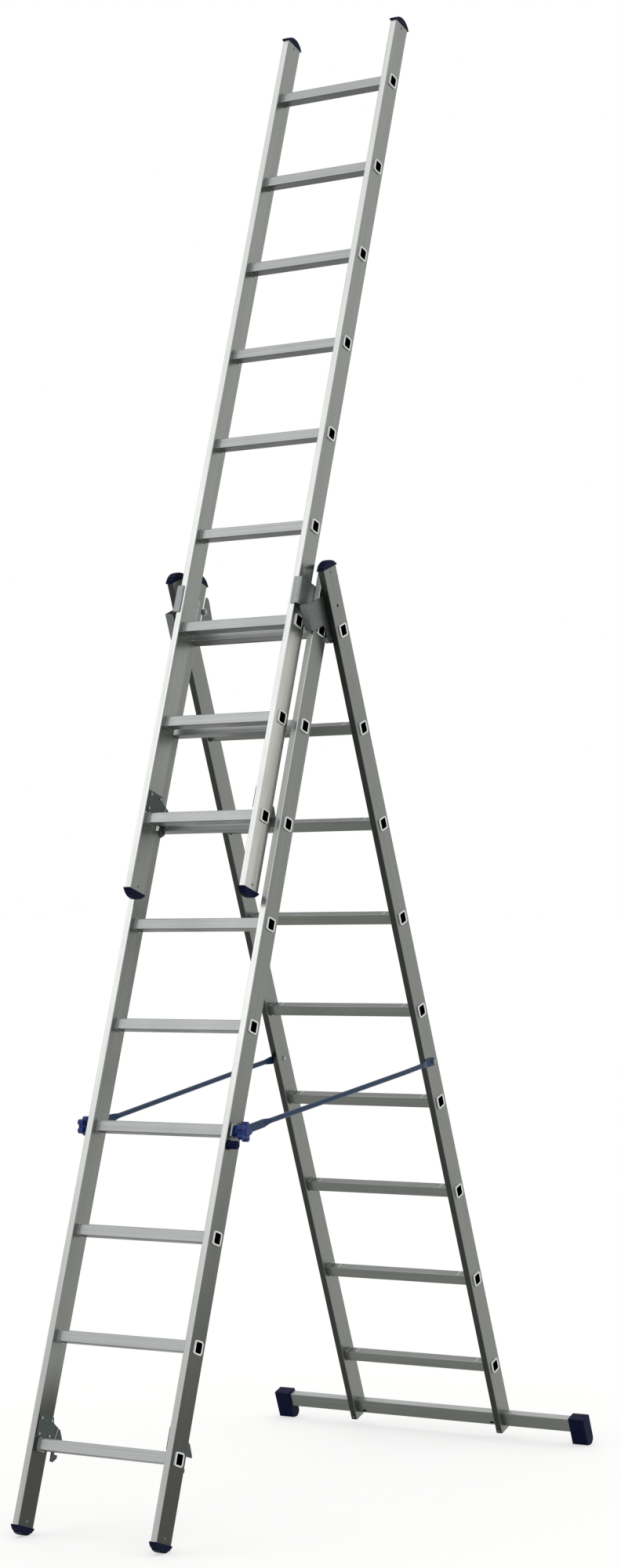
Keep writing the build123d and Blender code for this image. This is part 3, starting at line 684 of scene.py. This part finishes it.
def tread_tree():
    """Rows of ribs along the top of each rung."""
    tree, source, sink = new_tree(
        "Rung treads",
        {"Count": "Int", "Pitch": "Vector", "Start": "Vector", "Rib": "Vector", "Turn": "Vector"},
    )
    row = add(
        tree,
        "GeometryNodeMeshLine",
        {"Count": source.outputs["Count"], "Start Location": source.outputs["Start"],
         "Offset": source.outputs["Pitch"]},
    )
    rib = add(tree, "GeometryNodeMeshCube", {"Size": source.outputs["Rib"]})
    ribs = add(
        tree,
        "GeometryNodeInstanceOnPoints",
        {"Points": row.outputs["Mesh"], "Instance": rib.outputs["Mesh"]},
    )
    rungs = add(
        tree,
        "GeometryNodeInstanceOnPoints",
        {"Points": source.outputs["Geometry"], "Instance": ribs.outputs["Instances"],
         "Rotation": source.outputs["Turn"]},
    )
    return close_tree(tree, source, sink, rungs.outputs["Instances"])


def dome_tree():
    """A low dome at each point, such as a rivet head."""
    tree, source, sink = new_tree(
        "Domes", {"Radius": "Float", "Flatten": "Vector", "Turn": "Vector"}
    )
    dome = add(
        tree,
        "GeometryNodeMeshUVSphere",
        {"Segments": 16, "Rings": 8, "Radius": source.outputs["Radius"]},
    )
    smooth = add(tree, "GeometryNodeSetShadeSmooth", {"Geometry": dome.outputs["Mesh"]})
    domes = add(
        tree,
        "GeometryNodeInstanceOnPoints",
        {"Points": source.outputs["Geometry"], "Instance": smooth.outputs["Geometry"],
         "Rotation": source.outputs["Turn"], "Scale": source.outputs["Flatten"]},
    )
    return close_tree(tree, source, sink, domes.outputs["Instances"])


def spring_tree():
    """A coil of wire at each point, its axis across the ladder."""
    tree, source, sink = new_tree(
        "Latch springs", {"Wire": "Float", "Radius": "Float", "Turns": "Float", "Length": "Float"}
    )
    coil = add(
        tree,
        "GeometryNodeCurveSpiral",
        {"Resolution": 20, "Rotations": source.outputs["Turns"],
         "Start Radius": source.outputs["Radius"], "End Radius": source.outputs["Radius"],
         "Height": source.outputs["Length"]},
    )
    round_wire = add(
        tree,
        "GeometryNodeCurvePrimitiveCircle",
        {"Resolution": 8, "Radius": source.outputs["Wire"]},
    )
    wire = add(
        tree,
        "GeometryNodeCurveToMesh",
        {"Curve": coil.outputs["Curve"], "Profile Curve": round_wire.outputs["Curve"],
         "Fill Caps": True},
    )
    springs = add(
        tree,
        "GeometryNodeInstanceOnPoints",
        {"Points": source.outputs["Geometry"], "Instance": wire.outputs["Mesh"],
         "Rotation": (0, math.pi / 2, 0)},
    )
    return close_tree(tree, source, sink, springs.outputs["Instances"])


def bead_tree():
    """A rounded bead round a square hole at each point, facing across the ladder."""
    tree, source, sink = new_tree(
        "Rung beads", {"Side": "Float", "Corner": "Float", "Bead": "Float"}
    )
    square = add(
        tree,
        "GeometryNodeCurvePrimitiveQuadrilateral",
        {"Width": source.outputs["Side"], "Height": source.outputs["Side"]},
    )
    eased = add(
        tree,
        "GeometryNodeFilletCurve",
        {"Curve": square.outputs["Curve"], "Count": 5, "Radius": source.outputs["Corner"]},
        mode="POLY",
    )
    section = add(
        tree,
        "GeometryNodeCurvePrimitiveCircle",
        {"Resolution": 10, "Radius": source.outputs["Bead"]},
    )
    ring = add(
        tree,
        "GeometryNodeCurveToMesh",
        {"Curve": eased.outputs["Curve"], "Profile Curve": section.outputs["Curve"]},
    )
    smooth = add(tree, "GeometryNodeSetShadeSmooth", {"Geometry": ring.outputs["Mesh"]})
    upright = add(
        tree,
        "GeometryNodeTransform",
        {"Geometry": smooth.outputs["Geometry"], "Rotation": (0, math.pi / 2, 0)},
    )
    angle = add(tree, "GeometryNodeInputNamedAttribute", {"Name": "turn"}, data_type="FLOAT")
    turn = add(tree, "ShaderNodeCombineXYZ", {"X": angle.outputs["Attribute"]})
    rings = add(
        tree,
        "GeometryNodeInstanceOnPoints",
        {"Points": source.outputs["Geometry"], "Instance": upright.outputs["Geometry"],
         "Rotation": turn.outputs["Vector"]},
    )
    return close_tree(tree, source, sink, rings.outputs["Instances"])


def rib_tree():
    """A bar across the ladder at each point, turned by the point's own angle."""
    tree, source, sink = new_tree("Ribs", {"Rib": "Vector"})
    bar = add(tree, "GeometryNodeMeshCube", {"Size": source.outputs["Rib"]})
    angle = add(tree, "GeometryNodeInputNamedAttribute", {"Name": "turn"}, data_type="FLOAT")
    turn = add(tree, "ShaderNodeCombineXYZ", {"X": angle.outputs["Attribute"]})
    bars = add(
        tree,
        "GeometryNodeInstanceOnPoints",
        {"Points": source.outputs["Geometry"], "Instance": bar.outputs["Mesh"],
         "Rotation": turn.outputs["Vector"]},
    )
    return close_tree(tree, source, sink, bars.outputs["Instances"])


def grow(name, tree, points, settings, body, turns=None):
    """Run a geometry tree on points, keep the result as a plain mesh, and hang it on a body."""
    mesh = bpy.data.meshes.new(name)
    mesh.from_pydata([tuple(point) for point in points], [], [])
    if turns:
        attribute = mesh.attributes.new("turn", "FLOAT", "POINT")
        attribute.data.foreach_set("value", turns)
    piece = bpy.data.objects.new(name, mesh)
    bpy.context.scene.collection.objects.link(piece)
    modifier = piece.modifiers.new("Make", "NODES")
    modifier.node_group = tree
    identifiers = {
        item.name: item.identifier
        for item in tree.interface.items_tree
        if getattr(item, "in_out", "") == "INPUT"
    }
    for label, value in settings.items():
        modifier[identifiers[label]] = value
    bpy.context.view_layer.update()
    evaluated = piece.evaluated_get(bpy.context.evaluated_depsgraph_get())
    made = bpy.data.meshes.new_from_object(evaluated)
    piece.modifiers.clear()
    piece.data = made
    bpy.data.meshes.remove(mesh)
    made.name = name
    paint(made, settings["Finish"])
    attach(piece, body)
    return piece


class LADDER_OT_finishes(bpy.types.Operator):
    """Paint every carried-over node with its finish"""

    bl_idname = "ladder.finishes"
    bl_label = "Finishes"

    def execute(self, context):
        """Make the finishes, some with painted shade and a painted reflection in their colour, and give each node
        its own.
        """
        sizes = context.scene.ladder_sizes
        colours = context.scene.ladder_colours
        stile, rung = {}, {}
        for name, section in SECTIONS.items():
            rung_middle = Matrix.Rotation(-section.turn, 3, "X") @ section.middle
            stile[name] = drawn_aluminium(
                f"Mill aluminium {name}", colours.aluminium, section.turn,
                along="Z",
                roughness=0.25,
                # Painted shade on the rear stiles' forward faces
                forward_shade=colours.stile_forward_shade if name == "rear" else None,
                # Painted shade on the stiles' wide faces
                wide=colours.fly_side_shade if name == "fly" else colours.wide,
                # Painted reflection on the fly stile's outer face below the guide
                pale=colours.pale if name == "fly" else None,
                # Painted shade near the ground on the middle stiles
                shade=(colours.low_side_shade, colours.low_front_shade) if name == "middle" else None,
            )
            rung[name] = drawn_aluminium(
                f"Drawn aluminium {name}", colours.rung, section.turn,
                along="X",
                roughness=0.36,
                # Painted shade on the rear rungs' forward faces
                forward_shade=colours.rung_forward_shade if name == "rear" else None,
                # Painted shade on each rung's underside
                under=colours.rung_underside_shade,
                # Painted shade inside each rung's hollow
                bore_shade=(rung_middle, sizes.rung_pitch, sizes.rung_bore, colours.bore_shade),
            )
        zinc = zinc_plate("Zinc plate", colours.zinc)
        caps = moulded_plastic("Cap polypropylene", colours.cap_blue, roughness=0.36, shine=0.05)
        knobs = moulded_plastic("Knob polypropylene", colours.knob_blue, roughness=0.30, shine=0.30)
        struts = powder_paint("Strut powder paint", colours.strut_blue)
        bright = zinc_plate("Bright zinc plate", colours.bright_zinc)
        dark = zinc_plate("Dark zinc plate", colours.dark_zinc)
        by_slot = {
            "zinc_steel": zinc,
            "blue_plastic": caps,
            "navy_plastic": knobs,
            "blue_paint": struts,
        }
        bright_starts, bright_ends = ("fly_guides", "hinge_ear"), ("rivets", "bolts", "pins")
        for part in frame["record"]["subparts"]:
            node, slot = part["node"], part["material_slot"]
            section = node.split("_")[0]
            # The bar takes the rear rungs' finish, with its painted shade on the forward face
            if node == "stabiliser_bar":
                finish = rung["rear"]
            elif node == "keeper_peg":
                finish = caps
            elif slot == "aluminium":
                finish = (rung if node.endswith("rungs") else stile)[section]
            elif node.endswith("hooks") or ("_latch_" in node and not node.endswith("pins")):
                finish = dark
            elif node.startswith(bright_starts) or node.endswith(bright_ends):
                finish = bright
            else:
                finish = by_slot[slot]
            paint(frame["nodes"][node].data, finish)
        return {"FINISHED"}


class LADDER_OT_rung_treads(bpy.types.Operator):
    """Run fine ribs along the top of every rung"""

    bl_idname = "ladder.rung_treads"
    bl_label = "Rung Treads"

    def execute(self, context):
        """Ribs for each section, with a gap where the hooks of the section in front sit."""
        sizes = context.scene.ladder_sizes
        tree = tread_tree()
        first = -(sizes.rung_count - 1) / 2
        half_row = (sizes.tread_count - 1) / 2 * sizes.tread_pitch
        hooked_by = {"middle": "fly", "rear": "middle"}
        for name, section in SECTIONS.items():
            end = section.inner - sizes.tread_margin
            runs = {"treads": (-end, end)}
            if name in hooked_by:
                hook = SECTIONS[hooked_by[name]].inner
                gap_in = hook - sizes.hook_plate - sizes.hook_room
                gap_out = hook + sizes.hook_room
                runs = {
                    "treads": (-gap_in, gap_in),
                    "treads_right": (gap_out, end),
                    "treads_left": (-end, -gap_out),
                }
            for word, (low, high) in runs.items():
                points = [
                    section.at((low + high) / 2, 0, (first + number) * sizes.rung_pitch)
                    for number in range(sizes.rung_count)
                ]
                settings = {
                    "Count": sizes.tread_count,
                    "Pitch": (0, sizes.tread_pitch, 0),
                    "Start": (0, -half_row, sizes.rung_size / 2),
                    "Rib": (high - low, sizes.tread_width, 2 * sizes.tread_height),
                    "Turn": (section.turn, 0, 0),
                    "Finish": frame["nodes"][f"{name}_rungs"].data.materials[0],
                }
                grow(f"{name}_rung_{word}", tree, points, settings, name)
        return {"FINISHED"}


class LADDER_OT_cap_rivets(bpy.types.Operator):
    """Rivet the caps and feet into the ends of the stiles"""

    bl_idname = "ladder.cap_rivets"
    bl_label = "Cap Rivets"

    def execute(self, context):
        """Rivet heads on both faces of each stile, near its ends."""
        sizes = context.scene.ladder_sizes
        tree = dome_tree()
        zinc = bpy.data.materials["Zinc plate"]
        for name, section in SECTIONS.items():
            points = [
                section.at(side * face, 0, up)
                for side in SIDES
                for face in (section.inner, section.outer)
                for up in CAP_RIVETS[name]
            ]
            settings = {
                "Radius": sizes.rivet_radius,
                "Flatten": (sizes.rivet_rise, 1, 1),
                "Turn": (0, 0, 0),
                "Finish": zinc,
            }
            grow(f"{name}_cap_rivets", tree, points, settings, name)
        return {"FINISHED"}


class LADDER_OT_rung_beads(bpy.types.Operator):
    """Roll a rounded bead round the open end of every rung"""

    bl_idname = "ladder.rung_beads"
    bl_label = "Rung Beads"

    def execute(self, context):
        """One mesh of beads for each section."""
        sizes = context.scene.ladder_sizes
        colours = context.scene.ladder_colours
        tree = bead_tree()
        bright = drawn_aluminium(
            "Rolled aluminium bead", colours.bead, 0.0, along="X", roughness=0.24
        )
        first = -(sizes.rung_count - 1) / 2
        # The knobs' hubs cover the ends of the middle section's fourth rung
        covered = {"middle": (3,)}
        for name, section in SECTIONS.items():
            across = Vector(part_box(f"{name}_rungs")[1]).x - sizes.bead_sink
            points = [
                section.at(side * across, 0, (first + number) * sizes.rung_pitch)
                for side in SIDES
                for number in range(sizes.rung_count)
                if number not in covered.get(name, ())
            ]
            settings = {
                "Side": sizes.bead_side,
                "Corner": sizes.bead_corner,
                "Bead": sizes.bead_radius,
                "Finish": bright,
            }
            turns = [section.turn] * len(points)
            grow(f"{name}_rung_beads", tree, points, settings, name, turns)
        return {"FINISHED"}


class LADDER_OT_rung_dimples(bpy.types.Operator):
    """Punch marks near the ends of each rung, where it was swaged"""

    bl_idname = "ladder.rung_dimples"
    bl_label = "Rung Dimples"

    def execute(self, context):
        """Low domes on the outer side of every rung: the front, or the back of the rear section."""
        sizes = context.scene.ladder_sizes
        tree = bpy.data.node_groups["Domes"]
        first = -(sizes.rung_count - 1) / 2
        for name, section in SECTIONS.items():
            across = section.inner - sizes.dimple_inset
            face = sizes.rung_size / 2 if name == "rear" else -sizes.rung_size / 2
            points = [
                section.at(side * across, face, (first + number) * sizes.rung_pitch)
                for side in SIDES
                for number in range(sizes.rung_count)
            ]
            settings = {
                "Radius": sizes.dimple_radius,
                "Flatten": (1, sizes.dimple_rise, 1),
                "Turn": (section.turn, 0, 0),
                "Finish": frame["nodes"][f"{name}_rungs"].data.materials[0],
            }
            grow(f"{name}_rung_dimples", tree, points, settings, name)
        return {"FINISHED"}


class LADDER_OT_latch_springs(bpy.types.Operator):
    """Wind a return spring round each latch pin"""

    bl_idname = "ladder.latch_springs"
    bl_label = "Latch Springs"

    def execute(self, context):
        """Coils between each pin's head and its latch."""
        sizes = context.scene.ladder_sizes
        tree = spring_tree()
        for name in ("fly", "middle"):
            low, high = (Vector(corner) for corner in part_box(f"{name}_latch_pins"))
            middle = (low + high) / 2
            head = SECTIONS[name].inner - sizes.spring_inset
            points = [
                Vector((head - sizes.spring_length, middle.y, middle.z)),
                Vector((-head, middle.y, middle.z)),
            ]
            settings = {
                "Wire": sizes.spring_wire,
                "Radius": sizes.spring_radius,
                "Turns": sizes.spring_turns,
                "Length": sizes.spring_length,
                "Finish": bpy.data.materials["Zinc plate"],
            }
            grow(f"{name}_latch_springs", tree, points, settings, name)
        return {"FINISHED"}


class LADDER_OT_cap_ribs(bpy.types.Operator):
    """Raise ribs across the arched caps"""

    bl_idname = "ladder.cap_ribs"
    bl_label = "Cap Ribs"

    def execute(self, context):
        """Ribs that follow each cap's arch."""
        sizes = context.scene.ladder_sizes
        tree = rib_tree()
        radius = (sizes.cap_half**2 + sizes.cap_rise**2) / (2 * sizes.cap_rise)
        pitch = 2 * sizes.cap_half / sizes.cap_rib_count
        settings = {
            "Rib": (sizes.cap_rib_length, sizes.cap_rib_width, sizes.cap_rib_thickness),
            "Finish": bpy.data.materials["Cap polypropylene"],
        }
        for name, section in SECTIONS.items():
            points, turns = [], []
            for side in SIDES:
                across = side * (section.inner + section.outer) / 2
                for end, way in RIBBED_CAPS[name]:
                    for number in range(sizes.cap_rib_count):
                        depth = (number + 0.5 - sizes.cap_rib_count / 2) * pitch
                        arch = sizes.cap_rise - radius + math.sqrt(radius**2 - depth**2)
                        points.append(section.at(across, depth, end + way * arch))
                        turns.append(section.turn - way * math.asin(depth / radius))
            grow(f"{name}_cap_ribs", tree, points, settings, name, turns)
        return {"FINISHED"}


class LADDER_OT_hook_ribs(bpy.types.Operator):
    """Press a stiffening rib into each hook plate"""

    bl_idname = "ladder.hook_ribs"
    bl_label = "Hook Ribs"

    def execute(self, context):
        """One slanted rib on the inner face of each hook, behind the stile."""
        sizes = context.scene.ladder_sizes
        tree = bpy.data.node_groups["Ribs"]
        low, high = Vector(HOOK_RIB_LOW) * MM, Vector(HOOK_RIB_HIGH) * MM
        middle = (low + high) / 2
        slant = math.atan2(high.x - low.x, high.y - low.y)
        first = -(sizes.rung_count - 1) / 2 * sizes.rung_pitch
        for name in ("fly", "middle"):
            section = SECTIONS[name]
            points = [
                section.at(side * (section.inner - sizes.hook_plate), middle.x, first + middle.y)
                for side in SIDES
            ]
            settings = {
                "Rib": (2 * sizes.hook_rib_height, sizes.hook_rib_width, (high - low).length),
                "Finish": bpy.data.materials["Bright zinc plate"],
            }
            turns = [section.turn - slant] * len(points)
            grow(f"{name}_hook_ribs", tree, points, settings, name, turns)
        return {"FINISHED"}


class LADDER_OT_stop_plates(bpy.types.Operator):
    """Bare plates clamped under the stop bolts' heads, behind the middle stiles"""

    bl_idname = "ladder.stop_plates"
    bl_label = "Stop Plates"

    def execute(self, context):
        """A four-sided plate with eased edges on each side."""
        sizes = context.scene.ladder_sizes
        section = SECTIONS["rear"]
        top_rung = (sizes.rung_count - 1) / 2 * sizes.rung_pitch
        near = SECTIONS["middle"].inner - sizes.stop_plate_step
        for side, word in zip(SIDES, ("left", "right")):
            form = bmesh.new()
            corners = [
                form.verts.new(section.at(side * near, depth * MM, top_rung + up * MM))
                for depth, up in STOP_PLATE_CORNERS
            ]
            face = form.faces.new(corners)
            grown = bmesh.ops.extrude_face_region(form, geom=[face])["geom"]
            bmesh.ops.translate(
                form,
                verts=[item for item in grown if isinstance(item, bmesh.types.BMVert)],
                vec=ACROSS * side * sizes.stop_plate,
            )
            bmesh.ops.recalc_face_normals(form, faces=form.faces)
            through = [
                edge
                for edge in form.edges
                if abs((edge.verts[0].co - edge.verts[1].co).x) > sizes.stop_plate / 2
            ]
            bmesh.ops.bevel(
                form,
                geom=through,
                offset=sizes.stop_plate_corner,
                segments=5,
                profile=0.5,
                affect="EDGES",
            )
            bmesh.ops.bevel(
                form,
                geom=form.edges,
                offset=sizes.stop_plate_edge,
                segments=1,
                profile=0.5,
                affect="EDGES",
            )
            mesh = bpy.data.meshes.new(f"stop_plate_{word}")
            form.to_mesh(mesh)
            form.free()
            paint(mesh, bpy.data.materials["Zinc plate"])
            piece = bpy.data.objects.new(f"stop_plate_{word}", mesh)
            context.scene.collection.objects.link(piece)
            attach(piece, "rear")
        return {"FINISHED"}


class LADDER_OT_stage(bpy.types.Operator):
    """Set up the pale floor, the soft light and the camera"""

    bl_idname = "ladder.stage"
    bl_label = "Stage"

    def execute(self, context):
        """Floor, world, lamp and the camera at the photograph's angle."""
        colours = context.scene.ladder_colours
        floor_mesh = bpy.data.meshes.new("floor")
        corners = ((-1, -1), (1, -1), (1, 1), (-1, 1))
        floor_mesh.from_pydata(
            [(x * FLOOR_REACH, y * FLOOR_REACH, 0) for x, y in corners], [], [(0, 1, 2, 3)]
        )
        floor = bpy.data.objects.new("floor", floor_mesh)
        context.scene.collection.objects.link(floor)
        # Just under the feet, so that their soles don't flicker with it
        floor.location.z = -1 * MM
        material, tree, shader = new_material("Pale floor")
        shader.inputs["Base Color"].default_value = rgba(colours.floor, 1 - FLOOR_GLOW)
        shader.inputs["Roughness"].default_value = 0.9
        # The eye and the metal see the floor as white paper; its shadows stay
        glow = add(tree, "ShaderNodeEmission", {"Color": (1, 1, 1, 1), "Strength": FLOOR_GLOW})
        path = add(tree, "ShaderNodeLightPath")
        mirrored = add(
            tree,
            "ShaderNodeMath",
            {0: path.outputs["Is Camera Ray"], 1: path.outputs["Is Glossy Ray"]},
            operation="ADD",
        )
        seen = add(
            tree,
            "ShaderNodeMath",
            {0: mirrored.outputs["Value"], 1: path.outputs["Is Transmission Ray"]},
            operation="ADD",
            use_clamp=True,
        )
        dark = add(tree, "ShaderNodeEmission", {"Color": (0, 0, 0, 1), "Strength": 0.0})
        lit = add(
            tree,
            "ShaderNodeMixShader",
            {0: seen.outputs["Value"], 1: dark.outputs["Emission"], 2: glow.outputs["Emission"]},
        )
        paper = add(
            tree, "ShaderNodeAddShader", {0: shader.outputs["BSDF"], 1: lit.outputs["Shader"]}
        )
        tree.links.new(paper.outputs["Shader"], tree.nodes["Material Output"].inputs["Surface"])
        paint(floor_mesh, material)

        world = bpy.data.worlds.new("Studio")
        world.use_nodes = True
        tree = world.node_tree
        tree.nodes.clear()
        light = add(tree, "ShaderNodeBackground", {"Color": (1, 1, 1, 1), "Strength": 1.0})
        add(tree, "ShaderNodeOutputWorld", {"Surface": light.outputs["Background"]})
        context.scene.world = world

        lamp = bpy.data.lights.new("key", "AREA")
        lamp.energy = LAMP_POWER
        lamp.size = LAMP_SIZE
        lamp_object = bpy.data.objects.new("key", lamp)
        context.scene.collection.objects.link(lamp_object)
        lamp_object.location = LAMP_PLACE
        lamp_object.rotation_euler = (LAMP_AIM - LAMP_PLACE).to_track_quat("-Z", "Y").to_euler()

        angles = (CAMERA_YAW, CAMERA_PITCH, CAMERA_ROLL)
        yaw, pitch, roll = (math.radians(angle) for angle in angles)
        forward = Vector(
            (-math.sin(yaw) * math.cos(pitch), math.cos(yaw) * math.cos(pitch), math.sin(pitch))
        )
        level = Vector((math.cos(yaw), math.sin(yaw), 0))
        upright = level.cross(forward)
        right = level * math.cos(roll) + upright * math.sin(roll)
        up = upright * math.cos(roll) - level * math.sin(roll)
        camera = bpy.data.cameras.new("camera")
        camera.sensor_fit = "VERTICAL"
        camera.sensor_height = SENSOR_HEIGHT
        camera.lens = FOCAL_PIXELS / FRAME_HEIGHT * SENSOR_HEIGHT
        camera.clip_end = 200.0
        camera_object = bpy.data.objects.new("camera", camera)
        context.scene.collection.objects.link(camera_object)
        turn = Matrix((right, up, -forward)).transposed().to_4x4()
        camera_object.matrix_world = Matrix.Translation(CAMERA_PLACE) @ turn
        context.scene.camera = camera_object
        context.scene.view_settings.view_transform = "Standard"
        return {"FINISHED"}


class LADDER_PT_panel(bpy.types.Panel):
    """The ladder's operators, in order"""

    bl_idname = "LADDER_PT_panel"
    bl_label = "Ladder"
    bl_space_type = "VIEW_3D"
    bl_region_type = "UI"
    bl_category = "Ladder"

    def draw(self, context):
        """A button for each operator."""
        for operator in OPERATORS:
            self.layout.operator(operator.bl_idname)


OPERATORS = (
    LADDER_OT_finishes,
    LADDER_OT_rung_treads,
    LADDER_OT_cap_rivets,
    LADDER_OT_rung_beads,
    LADDER_OT_rung_dimples,
    LADDER_OT_latch_springs,
    LADDER_OT_cap_ribs,
    LADDER_OT_hook_ribs,
    LADDER_OT_stop_plates,
    LADDER_OT_stage,
)
CLASSES = (LadderSizes, LadderColours, *OPERATORS, LADDER_PT_panel)


def register():
    """Add the classes and the scene's settings."""
    for cls in CLASSES:
        bpy.utils.register_class(cls)
    bpy.types.Scene.ladder_sizes = bpy.props.PointerProperty(type=LadderSizes)
    bpy.types.Scene.ladder_colours = bpy.props.PointerProperty(type=LadderColours)


def unregister():
    """Remove what register added."""
    del bpy.types.Scene.ladder_colours
    del bpy.types.Scene.ladder_sizes
    for cls in reversed(CLASSES):
        bpy.utils.unregister_class(cls)


def main():
    """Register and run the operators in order."""
    register()
    bpy.ops.ladder.finishes()
    bpy.ops.ladder.rung_treads()
    bpy.ops.ladder.cap_rivets()
    bpy.ops.ladder.rung_beads()
    bpy.ops.ladder.rung_dimples()
    bpy.ops.ladder.latch_springs()
    bpy.ops.ladder.cap_ribs()
    bpy.ops.ladder.hook_ribs()
    bpy.ops.ladder.stop_plates()
    bpy.ops.ladder.stage()


if __name__ == "__main__":
    main()
